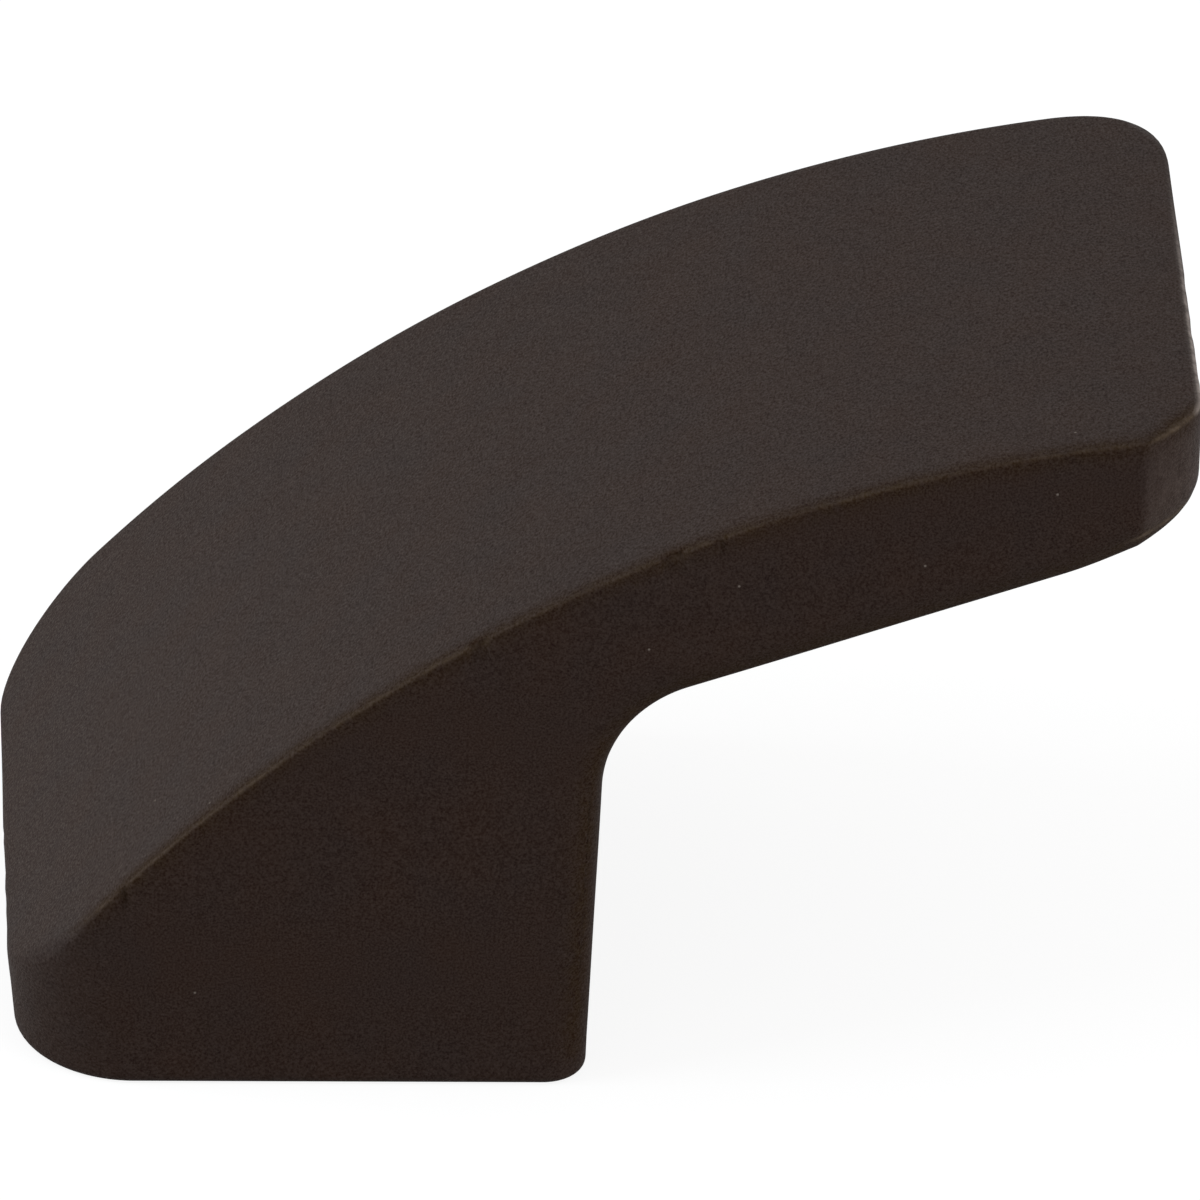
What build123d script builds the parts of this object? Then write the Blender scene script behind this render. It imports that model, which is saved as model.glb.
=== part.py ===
from build123d import *
import os
from math import radians, tan

# Cabinet knob of the finger-pull kind, cast in one piece: a block stem that carries a curved lip.
# The top is one long arc from the heel to the lip's tip, and a fingertip goes in under the lip.
# +X runs from the heel to the tip, +Y across the knob, +Z away from the cabinet face.
# The origin is the centre of the screw hole, on the base face.
# Lengths are in millimetres and angles in degrees.

# Stem
base_length = 15.45
width = 19.3
side_draft = 0.8
stem_draft = 1.45
heel_height = 2.45
heel_overhang = 0.3

# Lip
lip_reach = 16.0
lip_clearance = 11.05
lip_slope = 19.65
projection = 20.1
top_radius = 44.85

# Rounded corners and edges
throat_radius = 3.4
heel_corner_radius = 3.3
tip_corner_radius = 2.9
edge_radius = 1.2
foot_radius = 0.3
crease_radius = 0.2

# Screw hole, drilled and countersunk for a tapped No. 8-32 thread
tap_drill_diameter = 3.45
tap_depth = 7.0
drill_point_angle = 118.0
mouth_diameter = 4.25
mouth_angle = 90.0

# Ends of the base, and the lean of the sides, of the stem's front face and of the lip's underside
base_back = -base_length / 2
base_front = base_length / 2
side_lean = tan(radians(side_draft))
draft_run = tan(radians(stem_draft))
slope_rise = tan(radians(lip_slope))


def side_profile():
    """The knob's outline seen from its side, with the throat under the lip rounded."""
    throat_height = lip_clearance / (1 - slope_rise * draft_run)
    heel_foot = (base_back, 0)
    stem_foot = (base_front, 0)
    throat = (base_front + draft_run * throat_height, throat_height)
    tip_low = (base_front + lip_reach, lip_clearance + slope_rise * lip_reach)
    tip_top = (base_front + lip_reach, projection)
    heel_top = (base_back - heel_overhang, heel_height)
    with BuildSketch(Plane.XZ) as profile:
        with BuildLine():
            Polyline(heel_top, heel_foot, stem_foot, throat, tip_low, tip_top)
            RadiusArc(heel_top, tip_top, top_radius)
        make_face()
        fillet(profile.vertices().sort_by_distance(throat)[0], throat_radius)
    return profile.sketch


def end_profile():
    """The knob seen from its end: widest at the base, with the sides leaning in by the mould's draft."""
    height = 2 * projection
    top_width = width - 2 * side_lean * height
    with BuildSketch(Plane.YZ) as profile:
        with BuildLine():
            Polyline(
                (-width / 2, 0),
                (width / 2, 0),
                (top_width / 2, height),
                (-top_width / 2, height),
                close=True,
            )
        make_face()
    return profile.sketch


def upright_edges(face):
    """The two edges of an end face that run up the knob, one on each side."""
    return face.edges().filter_by(Axis.Y, reverse=True)


def cast_body():
    """The casting before drilling: both outlines in one block, with its corners and edges rounded."""
    stem_middle = (base_front + draft_run * lip_clearance / 2, 0, lip_clearance / 2)
    with BuildPart() as body:
        extrude(side_profile(), amount=width, both=True)
        extrude(end_profile(), amount=2 * (base_length + lip_reach), both=True, mode=Mode.INTERSECT)
        heel_face = body.faces().sort_by(Axis.X)[0]
        fillet(upright_edges(heel_face), heel_corner_radius)
        tip_face = body.faces().sort_by(Axis.X)[-1]
        fillet(upright_edges(tip_face), tip_corner_radius)
        # The rounding of the stem's corners runs on through the throat and round the lip's lower edge
        stem_face = body.faces().sort_by_distance(stem_middle)[0]
        fillet(upright_edges(stem_face), edge_radius)
        base_face = body.faces().sort_by(Axis.Z)[0]
        fillet(base_face.edges(), foot_radius)
        top_face = body.faces().sort_by(SortBy.AREA)[-1]
        fillet(top_face.edges(), crease_radius)
    return body.part


def screw_hole():
    """The drilled space: countersunk mouth, straight wall for the thread and the drill's pointed end."""
    wall_radius = tap_drill_diameter / 2
    mouth_radius = mouth_diameter / 2
    mouth_depth = (mouth_radius - wall_radius) / tan(radians(mouth_angle / 2))
    point_depth = wall_radius / tan(radians(drill_point_angle / 2))
    with BuildPart() as hole:
        with BuildSketch(Plane.XZ):
            with BuildLine():
                Polyline(
                    (0, 0),
                    (mouth_radius, 0),
                    (wall_radius, mouth_depth),
                    (wall_radius, tap_depth),
                    (0, tap_depth + point_depth),
                    close=True,
                )
            make_face()
        revolve(axis=Axis.Z)
    return hole.part


knob = cast_body() - screw_hole()
os.makedirs("parts", exist_ok=True)
export_step(knob, "parts/knob.step")
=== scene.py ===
from math import ceil, cos, pi, radians, sin, sqrt, tan

import bmesh
import bpy
import numpy as np
from mathutils import Matrix, Vector


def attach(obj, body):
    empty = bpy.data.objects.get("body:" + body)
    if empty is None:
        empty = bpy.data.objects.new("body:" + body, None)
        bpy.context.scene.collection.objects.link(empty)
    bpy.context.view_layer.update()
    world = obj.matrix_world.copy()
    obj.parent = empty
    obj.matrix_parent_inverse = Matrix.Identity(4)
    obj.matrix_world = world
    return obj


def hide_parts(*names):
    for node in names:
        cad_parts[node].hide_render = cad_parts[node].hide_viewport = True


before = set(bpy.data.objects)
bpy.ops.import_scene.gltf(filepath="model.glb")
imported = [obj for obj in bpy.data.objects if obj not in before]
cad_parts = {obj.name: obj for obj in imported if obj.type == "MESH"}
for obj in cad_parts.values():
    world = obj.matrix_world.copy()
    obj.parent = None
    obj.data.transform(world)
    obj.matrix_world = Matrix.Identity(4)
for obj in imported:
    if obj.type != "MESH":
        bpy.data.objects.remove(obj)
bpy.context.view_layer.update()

# Lengths are in millimetres until a mesh is made, and Blender's own are in metres. Angles are in degrees.
MM = 0.001

# The casting's sizes, as the solid model has them
base_length = 15.45
width = 19.3
side_draft = 0.8
stem_draft = 1.45
heel_height = 2.45
heel_overhang = 0.3
lip_reach = 16.0
lip_clearance = 11.05
lip_slope = 19.65
projection = 20.1
top_radius = 44.85
throat_radius = 3.4
edge_radius = 1.2
foot_radius = 0.3

# Corners, with radii along and across the knob. A corner of power 2 is an ellipse, and a lower power
# makes it leave that face more abruptly, as filing did on the tip's near corner.
heel_corner = (3.2, 3.4)
heel_corner_powers = (2.0, 2.0)
far_corner = (3.34, 3.375)
far_corner_powers = (2.5, 2.5)
near_corner = (1.7, 2.26)
near_corner_powers = (1.05, 1.8)

# The crease round the top: sharp on the near side, and softer at the heel, with a far and a near radius
# there. The changes run across the knob, and along it from the heel.
crease_radius = 0.21
near_crease_radius = 0.08
near_crease_change = (-8.5, -3.0)
heel_crease_radii = (0.3, 0.7)
heel_crease_change = (0.9, 2.7)

# The lower edge is softer at the tip. The change is measured from there.
tip_edge_radius = 1.82
tip_edge_change = (0.33, 3.64)

# The tapped hole, with a No. 8-32 thread. A groove's width at the wall and at its floor is a share of
# the pitch.
tap_drill_radius = 1.725
thread_radius = 2.085
thread_pitch = 0.794
thread_runout = 1.2
groove_width = 0.75
groove_floor = 0.125
tap_depth = 7.0
drill_point_angle = 118.0
mouth_radius = 2.125

# Unevenness that casting and hand finishing leave on the shape: how deep it is, the lengths of its waves
# and the seed for their directions. The base is flat, and the waves set in over a little height above it.
cast_wave = 0.012
cast_wave_lengths = (5.0, 6.1, 7.7, 9.2)
cast_wave_seed = 3
wave_start_height = 1.0
crease_wave = 0.02
crease_wave_lengths = (0.8, 1.3, 2.3)
crease_wave_seed = 21
file_reach = 0.6
notch_end = 0.09
# Notches along the near crease: place along the knob, half length and depth
notches = (
    (-4.9, 0.12, 0.17),
    (-2.8, 0.12, 0.08),
    (4.45, 0.28, 0.24),
    (9.6, 0.32, 0.3),
    (10.85, 0.14, 0.17),
)

# Mesh spacing
edge_zone = 1.4
edge_zone_most = 0.4
edge_rows = 14
edge_growth = 1.18
fine_step = 0.07
wide_step = 0.17
step_growth = 0.2
tip_step_growth = 0.04
throat_step = 0.11
arc_marks = (0.0, 0.33, 0.46, 0.56, 1.0)
grade_samples = 4000
side_rows = 24
cross_rows = 40
hole_block = 3.3
mouth_rings = 6
thread_step = 0.1
point_rings = 8
settle_rounds = 14
oval_rounds = 8
sharp_angle = 40.0

# Least values to divide by
small = 1e-6
tiny = 1e-9

# Points of the side outline
base_back = -base_length / 2
base_front = base_length / 2
tip_x = base_front + lip_reach
half_width = width / 2
side_lean = tan(radians(side_draft))
draft_run = tan(radians(stem_draft))
slope_rise = tan(radians(lip_slope))
throat_height = lip_clearance / (1 - slope_rise * draft_run)
throat_x = base_front + draft_run * throat_height
tip_low = lip_clearance + slope_rise * lip_reach
heel_top = np.array((base_back - heel_overhang, heel_height))
tip_top = np.array((tip_x, projection))


def arc_centre():
    """Centre of the top's arc, from its two ends and its radius."""
    chord = tip_top - heel_top
    length = np.linalg.norm(chord)
    below = np.array((chord[1], -chord[0])) / length
    return (heel_top + tip_top) / 2 + below * sqrt(top_radius**2 - length**2 / 4)


arc_x, arc_z = arc_centre()


def rise(value, first, last):
    """A gentle rise from 0 to 1 between two values."""
    share = np.clip((value - first) / (last - first), 0, 1)
    return share * share * (3 - 2 * share)


def fall(value, first, last):
    """A gentle fall from 1 to 0 between two values."""
    return 1 - rise(value, first, last)


def hump(value, middle, spread):
    """A bell curve of height 1."""
    return np.exp(-(((value - middle) / spread) ** 2))


def waves(points, lengths, seed):
    """A smooth uneven field from -1 to 1, with a wave of each length in a direction of its own."""
    random = np.random.default_rng(seed)
    total = np.zeros(len(points))
    for length in lengths:
        direction = random.normal(size=3)
        direction /= np.linalg.norm(direction)
        total += np.sin(points @ direction * 2 * pi / length + random.uniform(0, 2 * pi))
    return total / len(lengths)


# Faces of the casting. Each gives every point's distance out of the metal, and the face's normal there.


def plane(points, at, facing):
    """A flat face through a point."""
    normal = np.array(facing) / np.linalg.norm(facing)
    return (points - at) @ normal, np.broadcast_to(normal, points.shape)


def heel_face(points):
    return plane(points, (base_back, 0, 0), (-heel_height, 0, -heel_overhang))


def tip_face(points):
    return plane(points, (tip_x, 0, 0), (1.0, 0, 0))


def stem_face(points):
    return plane(points, (base_front, 0, 0), (1.0, 0, -draft_run))


def lip_face(points):
    return plane(points, (base_front, 0, lip_clearance), (slope_rise, 0, -1.0))


def base_face(points):
    return plane(points, (0, 0, 0), (0, 0, -1.0))


def side_faces(points):
    normal = np.zeros_like(points)
    normal[:, 1] = np.sign(points[:, 1])
    normal[:, 2] = side_lean
    length = sqrt(1 + side_lean**2)
    return (np.abs(points[:, 1]) - half_width + side_lean * points[:, 2]) / length, normal / length


def top_face(points):
    spoke = points * (1, 0, 1) - (arc_x, 0, arc_z)
    length = np.linalg.norm(spoke, axis=1)
    return length - top_radius, spoke / length[:, None]


def meet(one, two, radius):
    """The metal behind both faces, with the edge between them rounded."""
    (d1, n1), (d2, n2) = one, two
    lean = (n1 * n2).sum(1)
    splay = np.maximum(1 - lean**2, small)
    a = d1 + radius
    b = d2 + radius
    along1 = (a - lean * b) / splay
    along2 = (b - lean * a) / splay
    spoke = along1[:, None] * n1 + along2[:, None] * n2
    length = np.maximum(np.linalg.norm(spoke, axis=1), tiny)
    rounded = (along1 > 0) & (along2 > 0)
    distance = np.where(rounded, length - radius, np.maximum(d1, d2))
    flat_normal = np.where((d1 > d2)[:, None], n1, n2)
    return distance, np.where(rounded[:, None], spoke / length[:, None], flat_normal)


def join(one, two, radius):
    """The metal behind either face, with the inside corner between them filled to a radius."""
    distance, normal = meet((-one[0], -one[1]), (-two[0], -two[1]), radius)
    return -distance, -normal


def oval(one, two, radii, powers):
    """The metal behind both faces, with an oval corner that takes a radius and a power from each."""
    (d1, n1), (d2, n2) = one, two
    (radius1, radius2), (power1, power2) = radii, powers
    a = d1 / radius1 + 1
    b = d2 / radius2 + 1
    rounded = (a > 0) & (b > 0)
    a = np.maximum(a, small)
    b = np.maximum(b, small)
    reach = np.maximum(a, b)
    for _ in range(oval_rounds):
        share1 = (a / reach) ** power1
        share2 = (b / reach) ** power2
        reach = reach * (1 + (share1 + share2 - 1) / (power1 * share1 + power2 * share2))
    # An ellipse's slope, which is near enough for settling and turns evenly over the corner
    scale = (reach / (a * a + b * b))[:, None]
    slope = scale * ((a / radius1)[:, None] * n1 + (b / radius2)[:, None] * n2)
    steepness = np.linalg.norm(slope, axis=1)
    distance = np.where(rounded, (reach - 1) / steepness, np.maximum(d1, d2))
    flat_normal = np.where((d1 > d2)[:, None], n1, n2)
    return distance, np.where(rounded[:, None], slope / steepness[:, None], flat_normal)


def tip_corner(points):
    """Radii and powers of the tip's corners at each point."""
    far = points[:, 1] > 0
    radii = [np.where(far, *pair) for pair in zip(far_corner, near_corner)]
    powers = [np.where(far, *pair) for pair in zip(far_corner_powers, near_corner_powers)]
    return radii, powers


def walls(points):
    """Heel, sides and tip, with the upright corners rounded."""
    sides = side_faces(points)
    heel, heel_normal = oval(heel_face(points), sides, heel_corner, heel_corner_powers)
    tip, tip_normal = oval(tip_face(points), sides, *tip_corner(points))
    back = points[:, 0] < 0
    return np.where(back, heel, tip), np.where(back[:, None], heel_normal, tip_normal)


def underside(points):
    """The stem's front face and the lip's lower face, with the throat between them rounded."""
    return join(stem_face(points), lip_face(points), throat_radius)


def filed(points, below_top):
    """How far filing took the near crease in: a little all along it, and more in its notches."""
    x, y, _ = points.T
    depth = crease_wave * (1 + waves(points, crease_wave_lengths, crease_wave_seed))
    for place, half_length, notch_depth in notches:
        inside = fall(np.abs(x - place), half_length - notch_end, half_length + notch_end)
        depth = depth + notch_depth * inside
    return np.where(y < 0, depth * hump(below_top, 0, file_reach), 0)


def crease_radii(points):
    """The crease's radius at each point."""
    near = fall(points[:, 1], *near_crease_change)
    at_heel = fall(points[:, 0] - heel_top[0], *heel_crease_change)
    far_heel, near_heel = heel_crease_radii
    along = crease_radius + near * (near_crease_radius - crease_radius)
    round_heel = far_heel + near * (near_heel - far_heel)
    return along + at_heel * (round_heel - along)


def casting(points):
    """The whole casting apart from its hole."""
    at_tip = fall(tip_x - points[:, 0], *tip_edge_change)
    lower_radius = edge_radius + at_tip * (tip_edge_radius - edge_radius)
    shell = meet(walls(points), underside(points), lower_radius)
    footed, footed_normal = meet(shell, base_face(points), foot_radius)
    top = top_face(points)
    footed = footed + filed(points, -top[0])
    distance, normal = meet((footed, footed_normal), top, crease_radii(points))
    above_base = np.clip(points[:, 2] / wave_start_height, 0, 1)
    uneven = 1 + waves(points, cast_wave_lengths, cast_wave_seed)
    return distance + cast_wave * above_base * uneven, normal


# Mesh of the casting: a grid on the six sides of a bent box, drawn onto the faces above


def graded(length, first, last, growth):
    """Places along a length, with the steps given at its ends and wider ones between."""
    place = np.linspace(0, length, grade_samples)
    step = np.minimum(first + growth * place, last + growth * (length - place))
    step = np.minimum(step, wide_step)
    count = np.concatenate(([0], np.cumsum(np.diff(place) / step[1:])))
    return np.interp(np.linspace(0, count[-1], ceil(count[-1]) + 1), count, place)


def across(length, middle):
    """Places across each length: crowded near both ends and even between."""
    length = np.asarray(length, float)[..., None]
    zone = np.minimum(edge_zone, edge_zone_most * length)
    crowd = np.concatenate(([0], np.cumsum(edge_growth ** np.arange(edge_rows))))
    crowd = crowd / crowd[-1] * zone
    share = np.linspace(0, 1, middle + 1)[1:-1]
    between = zone + (length - 2 * zone) * share
    return np.concatenate((crowd, between, length - crowd[..., ::-1]), axis=-1)


def throat_arc():
    """Centre of the throat's rounding and the two angles between which it runs."""
    down = np.array((-draft_run, -1.0)) / sqrt(1 + draft_run**2)
    out = np.array((1.0, slope_rise)) / sqrt(1 + slope_rise**2)
    half_angle = np.arccos(down @ out) / 2
    corner = np.array((throat_x, throat_height))
    middle = (down + out) / np.linalg.norm(down + out)
    centre = corner + middle * throat_radius / sin(half_angle)
    reach = throat_radius / np.tan(half_angle)
    first = corner + down * reach - centre
    last = corner + out * reach - centre
    return centre, np.arctan2(first[1], first[0]) % (2 * pi), np.arctan2(last[1], last[0]) % (2 * pi)


def straight(start, end, first, last, growth):
    """Places along a straight run, with the steps given at its ends."""
    length = np.linalg.norm(end - start)
    share = graded(length, first, last, growth) / length
    return start + share[:, None] * (end - start)


def outline_columns():
    """Matching places along the lower outline and along the top's arc, from heel to tip."""
    centre, turn0, turn1 = throat_arc()
    turn = np.linspace(turn0, turn1, ceil(throat_radius * abs(turn1 - turn0) / throat_step) + 1)
    throat = centre + throat_radius * np.column_stack((np.cos(turn), np.sin(turn)))
    back = np.array((base_back, 0))
    front = np.array((base_front, 0))
    tip = np.array((tip_x, tip_low))
    runs = (
        straight(back, front, fine_step, fine_step, step_growth),
        straight(front, throat[0], fine_step, wide_step, step_growth),
        throat,
        straight(throat[-1], tip, wide_step, fine_step, tip_step_growth),
    )
    lower = [runs[0][:1]]
    along = [np.zeros(1)]
    for run, mark0, mark1 in zip(runs, arc_marks, arc_marks[1:]):
        step = np.linalg.norm(np.diff(run, axis=0), axis=1)
        lower.append(run[1:])
        along.append(mark0 + np.cumsum(step) / step.sum() * (mark1 - mark0))
    start = np.arctan2(heel_top[1] - arc_z, heel_top[0] - arc_x)
    end = np.arctan2(tip_top[1] - arc_z, tip_top[0] - arc_x)
    turn = start + (end - start) * np.concatenate(along)
    upper = np.column_stack((arc_x + top_radius * np.cos(turn), arc_z + top_radius * np.sin(turn)))
    return np.concatenate(lower), upper


def upper_height(x):
    return arc_z + np.sqrt(top_radius**2 - (x - arc_x) ** 2)


def lower_height(x):
    return np.where(x < throat_x, 0, lip_clearance + slope_rise * (x - base_front))


def round_corner(points, face, radii, way):
    """Draws the points near an end's two upright corners in along the corners' rounding."""
    a = face(points)[0] / radii[0] + 1
    b = side_faces(points)[0] / radii[1] + 1
    most = np.maximum(a, b)
    turn = pi / 4 * np.minimum(a, b) / np.maximum(most, tiny)
    across_end = np.where(a > b, np.cos(turn), np.sin(turn)) * most
    across_side = np.where(a > b, np.sin(turn), np.cos(turn)) * most
    inside = (a > 0) & (b > 0)
    x = points[:, 0] + np.where(inside, way * (across_end - a) * radii[0], 0)
    y = points[:, 1] + np.where(inside, np.sign(points[:, 1]) * (across_side - b) * radii[1], 0)
    low, high = lower_height(points[:, 0]), upper_height(points[:, 0])
    share = (points[:, 2] - low) / (high - low)
    new_low, new_high = lower_height(x), upper_height(x)
    z = np.where(inside, new_low + share * (new_high - new_low), points[:, 2])
    return np.column_stack((x, y, z))


def settle(points, surface):
    """Moves the points onto a surface."""
    for _ in range(settle_rounds):
        distance, normal = surface(points)
        points = points - distance[:, None] * normal
    return points


def sheet_quads(sheet):
    """Faces between the neighbours of a grid of point numbers."""
    corners = (sheet[:-1, :-1], sheet[1:, :-1], sheet[1:, 1:], sheet[:-1, 1:])
    return np.stack(corners, axis=-1).reshape(-1, 4)


def ring_quads(one, two):
    """Faces between two rings of point numbers."""
    return np.stack((one, np.roll(one, -1), np.roll(two, -1), two), axis=-1)


def bore_radius(angle, height):
    """The hole's radius: a countersunk mouth, then the thread, which runs out towards the end."""
    phase = (height / thread_pitch - angle / (2 * pi)) % 1
    from_groove = np.abs(phase - 0.5) * 2
    groove = np.clip((groove_width - from_groove) / (groove_width - groove_floor), 0, 1)
    runout = np.clip((tap_depth - height) / thread_runout, 0, 1)
    thread = tap_drill_radius + (thread_radius - tap_drill_radius) * groove * runout
    return np.maximum(mouth_radius - height, thread)


def hole_rings(rim):
    """Rings of points from the square of the base that is left open, in to the mouth and up the hole."""
    angle = np.arctan2(rim[:, 1], rim[:, 0])
    spoke = np.column_stack((np.cos(angle), np.sin(angle), np.zeros(len(angle))))
    up = np.array((0, 0, 1.0))
    mouth = mouth_radius * spoke
    rings = [rim + share * (mouth - rim) for share in np.linspace(0, 1, mouth_rings + 1)[1:-1]]
    heights = np.linspace(0, tap_depth, round(tap_depth / thread_step) + 1)
    rings += [bore_radius(angle, z)[:, None] * spoke + z * up for z in heights]
    point_depth = tap_drill_radius / tan(radians(drill_point_angle / 2))
    for share in np.linspace(0, 1, point_rings + 1)[1:-1]:
        rings.append(tap_drill_radius * (1 - share) * spoke + (tap_depth + share * point_depth) * up)
    return rings, (tap_depth + point_depth) * up


def box_points(lower, upper, y):
    """Points on the box's six sides, their numbers in its grid, and which of them are on the walls."""
    reach = np.linalg.norm(upper - lower, axis=1)
    share = across(reach, side_rows) / reach[:, None]
    section = lower[:, None] + share[..., None] * (upper - lower)[:, None]
    shape = section.shape[:2] + y.shape
    on_box = np.zeros(shape, bool)
    for axis in range(3):
        layers = np.moveaxis(on_box, axis, 0)
        layers[0] = True
        layers[-1] = True
    i, j, k = np.nonzero(on_box)
    number = np.full(shape, -1)
    number[i, j, k] = np.arange(len(i))
    points = np.column_stack((section[i, j, 0], y[k], section[i, j, 1]))
    on_walls = (i == 0) | (i == shape[0] - 1) | (k == 0) | (k == shape[2] - 1)
    return points, number, on_walls


def open_base(base, lower, y):
    """The base's grid in four parts, round the square that is left open for the hole, and its rim."""
    columns = np.nonzero((np.abs(lower[:, 0]) < hole_block) & (lower[:, 1] == 0))[0]
    rows = np.nonzero(np.abs(y) < hole_block)[0]
    i0, i1 = columns[0], columns[-1]
    k0, k1 = rows[0], rows[-1]
    beside = base[i0 : i1 + 1]
    parts = [base[: i0 + 1], base[i1:], beside[:, : k0 + 1], beside[:, k1:]]
    rim = (base[i0:i1, k0], base[i1, k0:k1], base[i1:i0:-1, k1], base[i0, k1:k0:-1])
    return parts, np.concatenate(rim)


def casting_mesh():
    """Points and faces of the whole casting, with its hole."""
    lower, upper = outline_columns()
    y = across(2 * half_width, cross_rows) - half_width
    points, number, on_walls = box_points(lower, upper, y)
    points = round_corner(points, heel_face, heel_corner, -1)
    points = round_corner(points, tip_face, tip_corner(points)[0], 1)
    points[on_walls] = settle(points[on_walls], walls)
    points = settle(points, casting)

    sheets = [number[0], number[-1], number[:, -1], number[:, :, 0], number[:, :, -1]]
    base_parts, rim = open_base(number[:, 0], lower, y)
    faces = [sheet_quads(sheet) for sheet in sheets + base_parts]
    rings, pole = hole_rings(points[rim])
    last = rim
    for ring in rings:
        ids = len(points) + np.arange(len(ring))
        points = np.concatenate((points, ring))
        faces.append(ring_quads(last, ids))
        last = ids
    end = len(points)
    points = np.concatenate((points, pole[None]))
    closing = np.column_stack((last, np.roll(last, -1), np.full(len(last), end)))
    return points, np.concatenate(faces).tolist() + closing.tolist()


# Places of the patina's rubbing, and of painted light and shade: painted sheen on the tip's filed facet,
# painted shade along the lower edge and a painted highlight along the tip's upper edge. A line along an
# edge has its middle and its spread. Its distance from the crease is below 0 on the top, and its distance
# from the lower edge below 0 on the underside. A change has its two ends.
rub_wave_lengths = (0.9, 1.3, 2.1, 3.4, 5.3)
rub_wave_seed = 11
near_side = (-8.2, -6.8)
from_heel = (1.2, 2.8)
more_at_heel = (3.0, 11.0)

# Painted sheen: a lighter colour on the filed facet at the tip's near corner. It stands in for the light
# that the facet catches from the right, and is less near the crease.
facet_start = (-0.05, 0.35)
facet_end = (-8.2, -6.6)
facet_top = (-0.1, 0.1)
facet_fade = (0.2, 1.8)
facet_least = 0.5

brown_line = -0.2
brown_spreads = (0.35, 0.5)
brown_least = 0.6
# Painted shade along the lower edge: its middle and spread from the edge, its share, and the heights above
# the foot over which it sets in
lower_edge_shade_line = (0.1, 0.6)
lower_edge_shade_share = 0.8
lower_edge_shade_foot = (0.3, 1.2)

bare_line = (-0.1, 0.1)
bare_share = 0.4
bare_heel_share = 0.2
bare_corner_line = (-0.02, 0.08)
bare_corner_start = 0.3
bare_corner_least = 0.4
bare_lower_line = (0.5, 0.1)
bare_lower_start = 0.6

# Painted highlight along the tip's upper edge, where its rounding catches the light from the right
pale_line = (-0.02, 0.1)
pale_tip = (-0.35, -0.12)
pale_reach = (-4.0, 6.0)


def rubbed_and_painted_light(points):
    """How much each point takes of each mark of the finish, in the order of its colour table: painted sheen
    on the tip's facet, the crease's brown rubbing with painted shade along the lower edge, bare metal where
    rubbing went through, and a painted highlight along the tip's upper edge.
    """
    x, y, z = points.T
    around = walls(points)[0]
    top = top_face(points)[0]
    from_crease = around - top
    from_edge = around - underside(points)[0]
    uneven = 0.5 + 0.5 * waves(points, rub_wave_lengths, rub_wave_seed)
    near = fall(y, *near_side)
    past_heel = rise(x - heel_top[0], *from_heel)
    past_corner = x - (tip_x - near_corner[0])

    # Painted sheen on the tip's filed facet
    facet = rise(past_corner, *facet_start) * fall(y, *facet_end) * rise(from_crease, *facet_top)
    facet = facet * (facet_least + (1 - facet_least) * rise(-top, *facet_fade))

    brown_spread = np.where(from_crease < brown_line, *brown_spreads)
    brown = hump(from_crease, brown_line, brown_spread) * past_heel
    brown = brown * (brown_least + (1 - brown_least) * uneven)
    # Painted shade: a darker brown along the lower edge, where the edge turns down to the shaded floor
    # under the lip
    lower_edge_shade = lower_edge_shade_share * hump(from_edge, *lower_edge_shade_line) * rise(z, *lower_edge_shade_foot)
    brown = np.maximum(brown, lower_edge_shade) * near

    bare = hump(from_crease, *bare_line) * uneven * past_heel
    bare = bare * (bare_share + bare_heel_share * fall(x, *more_at_heel))
    corner_bare = hump(from_crease, *bare_corner_line) * rise(past_corner, 0, bare_corner_start)
    corner_bare = corner_bare * (bare_corner_least + (1 - bare_corner_least) * uneven)
    lower_bare = hump(from_edge, *bare_lower_line) * rise(past_corner, -bare_lower_start, 0)
    bare = np.clip((bare + corner_bare + lower_bare) * near, 0, 1)

    # Painted highlight along the tip's upper edge
    pale = hump(from_crease, *pale_line) * rise(x - tip_x, *pale_tip) * fall(y, *pale_reach)
    return facet, brown, bare, pale


def store(mesh, name, values):
    """Keeps a value for each point of a mesh, under a name that a material can read."""
    stored = mesh.attributes.new(name, "FLOAT", "POINT")
    stored.data.foreach_set("value", values.astype(np.float32))


def make_casting():
    """The casting as a Blender object, with the places of its finish's rubbing and of its painted light and
    shade stored on its points.
    """
    points, faces = casting_mesh()
    mesh = bpy.data.meshes.new("knob_casting")
    mesh.from_pydata(points * MM, [], faces)
    shell = bmesh.new()
    shell.from_mesh(mesh)
    loose = [v for v in shell.verts if not v.link_faces]
    bmesh.ops.delete(shell, geom=loose, context="VERTS")
    bmesh.ops.recalc_face_normals(shell, faces=shell.faces)
    shell.to_mesh(mesh)
    shell.free()
    mesh.shade_smooth()
    mesh.set_sharp_from_angle(angle=radians(sharp_angle))
    places = np.zeros(len(mesh.vertices) * 3)
    mesh.vertices.foreach_get("co", places)
    for name, share in zip(wear_and_painted_light, rubbed_and_painted_light(places.reshape(-1, 3) / MM)):
        store(mesh, name, share)
    casting_object = bpy.data.objects.new("knob_casting", mesh)
    bpy.context.scene.collection.objects.link(casting_object)
    return casting_object


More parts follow.
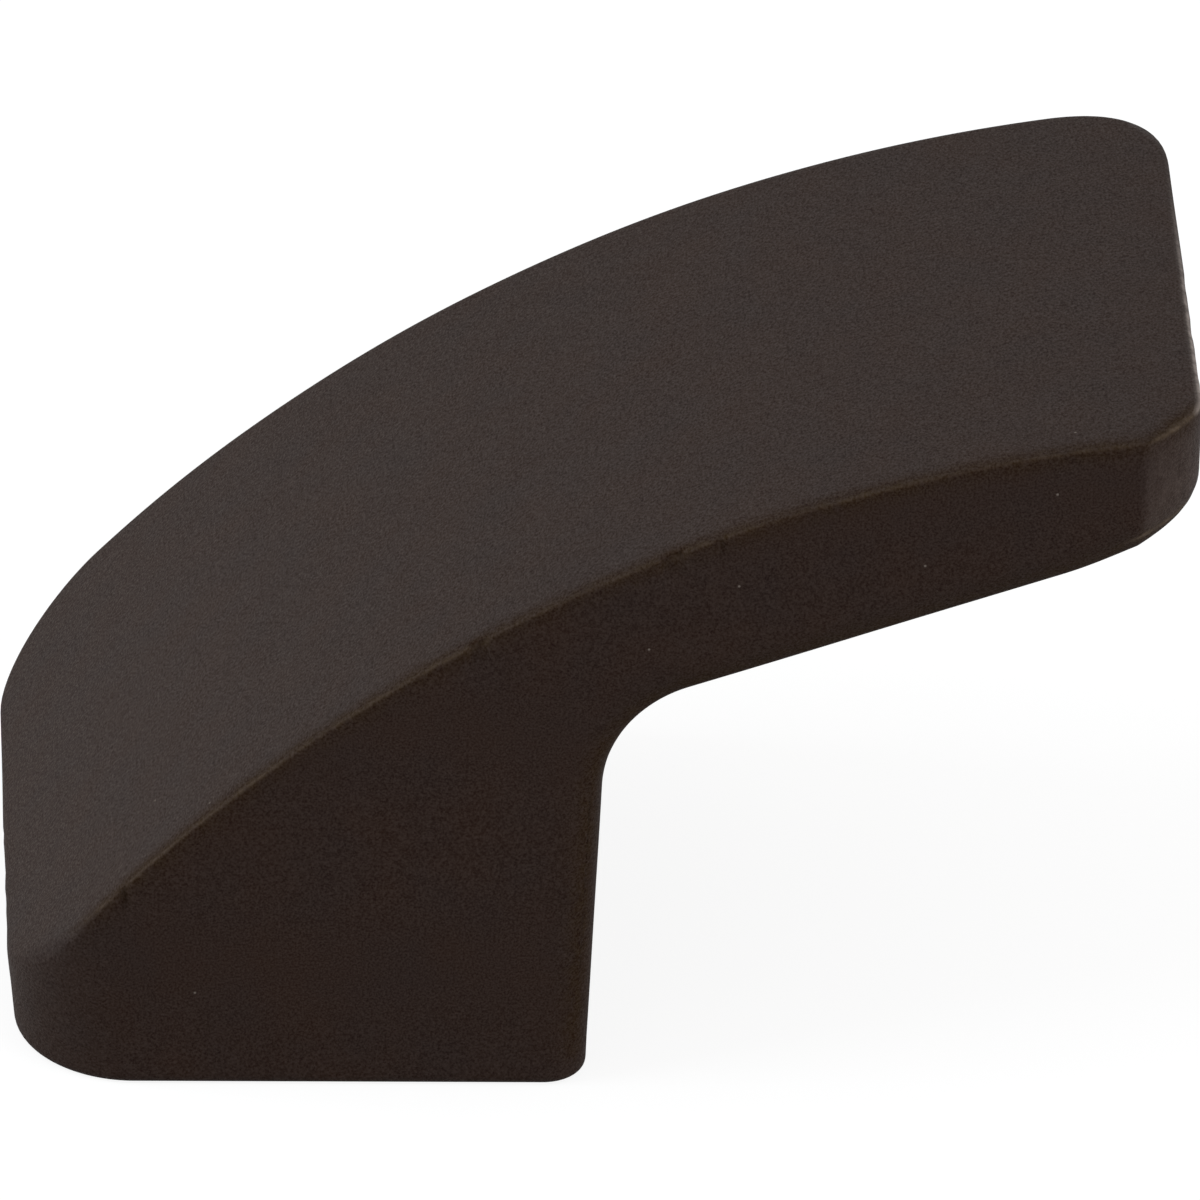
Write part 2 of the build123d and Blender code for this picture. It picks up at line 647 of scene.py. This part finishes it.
# Finish. The patina varies between two colours, and each place of rubbing and each place of painted sheen,
# shade or highlight has its own.
brown_patina = (0.0208, 0.0106, 0.0066, 1)
cool_patina = (0.0192, 0.0110, 0.0080, 1)
wear_and_painted_light = {
    # painted sheen on the tip's filed facet
    "facet_painted_sheen": (0.040, 0.0268, 0.0215, 1),
    # the crease's brown rubbing, and painted shade along the lower edge
    "rubbed_brown_and_edge_shade": (0.0185, 0.0088, 0.0018, 1),
    "rubbed_bare": (0.075, 0.053, 0.035, 1),
    # painted highlight along the tip's upper edge
    "tip_edge_painted_highlight": (0.26, 0.22, 0.20, 1),
}
grain_light = (0.0140, 0.0108, 0.0094, 1)
dust_colour = (0.12, 0.10, 0.085, 1)
sheen_ior = 1.205
sheen_tint = (0.91, 0.92, 1.0, 1)

# The noises that break the finish up, with their waves to the millimetre, their detail, and the part of
# their range that counts
patina_scale = 0.55
patina_detail = 3.0
patina_range = (0.3, 0.7)
wear_scale = 3.0
wear_detail = 2.0
wear_range = (0.3, 0.6)
wear_shares = (0.35, 1.0)
grain_scale = 16.0
grain_detail = 2.0
grain_roughness = 0.65
grain_stretch = (1.0, 0.6, 1.0)
grain_depth = 0.02
light_grain = (0.5, 0.75)
dark_grain = (0.25, 0.5)

# Roughness, which the grain changes a little, and which is raised on the crease's brown band and under the
# painted shade along the lower edge
matte = 0.56
matte_change = 0.1
matte_grain = (0.3, 0.7)
brown_matte = 0.3

# Places of a few pale specks
speck_size = 0.045
specks = (
    (16.3, -9.42, 16.2),
    (19.75, -9.39, 18.4),
    (11.35, -9.43, 15.55),
    (9.0, -9.46, 13.6),
    (-2.95, -9.61, 2.9),
    (20.25, -8.2, 19.62),
    (-4.05, -6.4, 7.04),
    (-2.65, -8.8, 8.4),
)


class Nodes:
    """A short way to add shader nodes: each call makes one and links or sets its inputs."""

    def __init__(self, tree):
        self.tree = tree
        tree.nodes.clear()

    def add(self, kind, inputs=None, **settings):
        node = self.tree.nodes.new("ShaderNode" + kind)
        for name, value in settings.items():
            setattr(node, name, value)
        for name, value in (inputs or {}).items():
            if isinstance(value, bpy.types.NodeSocket):
                self.tree.links.new(value, node.inputs[name])
            else:
                node.inputs[name].default_value = value
        return node

    def math(self, kind, one, two):
        return self.add("Math", {0: one, 1: two}, operation=kind).outputs[0]

    def vector(self, kind, one, two):
        return self.add("VectorMath", {0: one, 1: two}, operation=kind).outputs

    def remap(self, value, start, end):
        """Stretches one range of a value over another."""
        limits = {"From Min": start[0], "From Max": start[1], "To Min": end[0], "To Max": end[1]}
        return self.add("MapRange", {"Value": value, **limits}).outputs["Result"]

    def blend(self, share, one, two, kind="MIX"):
        """Mixes two colours. The Mix node's colour sockets are the seventh and eighth."""
        inputs = {0: share, 6: one, 7: two}
        return self.add("Mix", inputs, data_type="RGBA", blend_type=kind).outputs[2]


def bronze():
    """Matte dark bronze with a fine grain, its patina rubbing off at its edges, with painted sheen, shade
    and highlight at some edges, and a few specks of dust.
    """
    material = bpy.data.materials.new("dark_bronze")
    material.use_nodes = True
    n = Nodes(material.node_tree)
    place = n.add("TexCoord").outputs["Object"]
    place = n.add("VectorMath", {0: place, 3: 1 / MM}, operation="SCALE").outputs[0]

    def noise(vector, scale, detail, roughness=0.5):
        inputs = {"Vector": vector, "Scale": scale, "Detail": detail, "Roughness": roughness}
        return n.add("TexNoise", inputs).outputs["Fac"]

    def speck(at):
        away = n.vector("DISTANCE", place, at)["Value"]
        return n.remap(away, (speck_size / 2, speck_size), (1.0, 0.0))

    stretched = n.vector("MULTIPLY", place, grain_stretch)[0]
    grain = noise(stretched, grain_scale, grain_detail, grain_roughness)
    patches = n.remap(noise(place, patina_scale, patina_detail), patina_range, (0.0, 1.0))
    colour = n.blend(patches, brown_patina, cool_patina)
    broken = n.remap(noise(place, wear_scale, wear_detail), wear_range, wear_shares)
    # The patina's rubbing, and its painted sheen, painted shade and painted highlight, each mixed in by its
    # stored share
    worn_and_painted = {name: n.add("Attribute", attribute_name=name).outputs["Fac"] for name in wear_and_painted_light}
    for name, share in worn_and_painted.items():
        colour = n.blend(n.math("MULTIPLY", share, broken), colour, wear_and_painted_light[name])
    colour = n.blend(n.remap(grain, light_grain, (0.0, 1.0)), colour, grain_light, "ADD")
    colour = n.blend(n.remap(grain, dark_grain, (1.0, 0.0)), colour, grain_light, "SUBTRACT")
    dust = speck(specks[0])
    for at in specks[1:]:
        dust = n.math("MAXIMUM", dust, speck(at))
    colour = n.blend(dust, colour, dust_colour)
    roughness = n.remap(grain, matte_grain, (matte + matte_change, matte - matte_change))
    roughness = n.math("ADD", roughness, n.math("MULTIPLY", worn_and_painted["rubbed_brown_and_edge_shade"], brown_matte))
    bump = n.add("Bump", {"Strength": 1.0, "Distance": grain_depth * MM, "Height": grain})
    shader = n.add("BsdfPrincipled", {
        "Base Color": colour,
        "Roughness": roughness,
        "IOR": sheen_ior,
        "Specular Tint": sheen_tint,
        "Normal": bump.outputs["Normal"],
    })
    n.add("OutputMaterial", {"Surface": shader.outputs[0]})
    return material


# Studio, in metres. The floor has a paint and a glow for each kind of ray: those that light the knob, those
# that mirror in it and the camera's own.
floor_half = 3.0
floor_for_light = (0.5, 0.0)
floor_for_mirror = (0.6, 0.05)
floor_for_camera = (0.2, 0.85)
white = (1, 1, 1, 1)
world_fill = 0.62
world_white = 1.0
key_light = {
    "place": (-0.46, -0.05, 0.17),
    "aim": (0.008, 0, 0.01),
    "size": 0.3,
    "watts": 1.88,
    "colour": (0.91, 0.965, 1.0),
}
side_light = {
    "place": (0.3, -0.22, 0.14),
    "aim": (0.016, 0, 0.015),
    "size": 0.25,
    "watts": 0.75,
    "colour": (1.0, 1.0, 1.0),
}


def make_floor():
    """A pale floor that shows white and keeps the knob's soft shadow."""
    mesh = bpy.data.meshes.new("studio_floor")
    signs = ((-1, -1), (1, -1), (1, 1), (-1, 1))
    corners = [(floor_half * x, floor_half * y, 0) for x, y in signs]
    mesh.from_pydata(corners, [], [(0, 1, 2, 3)])
    floor = bpy.data.objects.new("studio_floor", mesh)
    bpy.context.scene.collection.objects.link(floor)
    material = bpy.data.materials.new("studio_floor")
    material.use_nodes = True
    n = Nodes(material.node_tree)

    def lit(share, strength):
        paint = n.add("BsdfDiffuse", {"Color": (share, share, share, 1)}).outputs[0]
        glow = n.add("Emission", {"Color": white, "Strength": strength}).outputs[0]
        return n.add("AddShader", {0: paint, 1: glow}).outputs[0]

    path = n.add("LightPath").outputs
    mirrored = n.math("MAXIMUM", path["Is Glossy Ray"], path["Is Transmission Ray"])
    shaders = {0: mirrored, 1: lit(*floor_for_light), 2: lit(*floor_for_mirror)}
    surface = n.add("MixShader", shaders).outputs[0]
    shaders = {0: path["Is Camera Ray"], 1: surface, 2: lit(*floor_for_camera)}
    surface = n.add("MixShader", shaders).outputs[0]
    n.add("OutputMaterial", {"Surface": surface})
    mesh.materials.append(material)


def make_world():
    """A white surround, a little dimmer as light than it looks to the camera, in gloss or through glass."""
    world = bpy.data.worlds.new("studio")
    world.use_nodes = True
    n = Nodes(world.node_tree)
    path = n.add("LightPath").outputs
    seen = n.math("MAXIMUM", path["Is Camera Ray"], path["Is Glossy Ray"])
    seen = n.math("MAXIMUM", seen, path["Is Transmission Ray"])
    fill = n.add("Background", {"Color": white, "Strength": world_fill}).outputs[0]
    shown = n.add("Background", {"Color": white, "Strength": world_white}).outputs[0]
    surface = n.add("MixShader", {0: seen, 1: fill, 2: shown}).outputs[0]
    n.add("OutputWorld", {"Surface": surface})
    bpy.context.scene.world = world


def make_light(name, place, aim, size, watts, colour):
    """A square soft light that faces a point."""
    lamp = bpy.data.lights.new(name, "AREA")
    lamp.size = size
    lamp.energy = watts
    lamp.color = colour
    light = bpy.data.objects.new(name, lamp)
    light.location = place
    light.rotation_mode = "QUATERNION"
    light.rotation_quaternion = (Vector(aim) - Vector(place)).to_track_quat("-Z", "Y")
    bpy.context.scene.collection.objects.link(light)


# The photograph's view
view_azimuth = -3.292
view_elevation = 30.029
view_roll = -1.936
view_distance = 490.51
view_lens = 539.37
view_aim = (8.180, -0.100, 9.710)


def make_camera():
    """The camera, turned to the view's three angles about the point it aims at."""
    a, e, r = (radians(angle) for angle in (view_azimuth, view_elevation, view_roll))
    forward = Vector((-sin(a) * cos(e), cos(a) * cos(e), -sin(e)))
    level = Vector((cos(a), sin(a), 0))
    upright = level.cross(forward)
    right = level * cos(r) - upright * sin(r)
    up = level * sin(r) + upright * cos(r)
    lens = bpy.data.cameras.new("camera")
    lens.lens = view_lens
    camera = bpy.data.objects.new("camera", lens)
    turn = Matrix((right, up, -forward)).transposed().to_4x4()
    spot = (Vector(view_aim) - forward * view_distance) * MM
    camera.matrix_world = Matrix.Translation(spot) @ turn
    bpy.context.scene.collection.objects.link(camera)
    bpy.context.scene.camera = camera


knob = make_casting()
knob.data.materials.append(bronze())
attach(knob, "root")
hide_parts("knob")
make_floor()
make_world()
make_light("key_light", **key_light)
make_light("side_light", **side_light)
make_camera()
bpy.context.scene.view_settings.view_transform = "Standard"
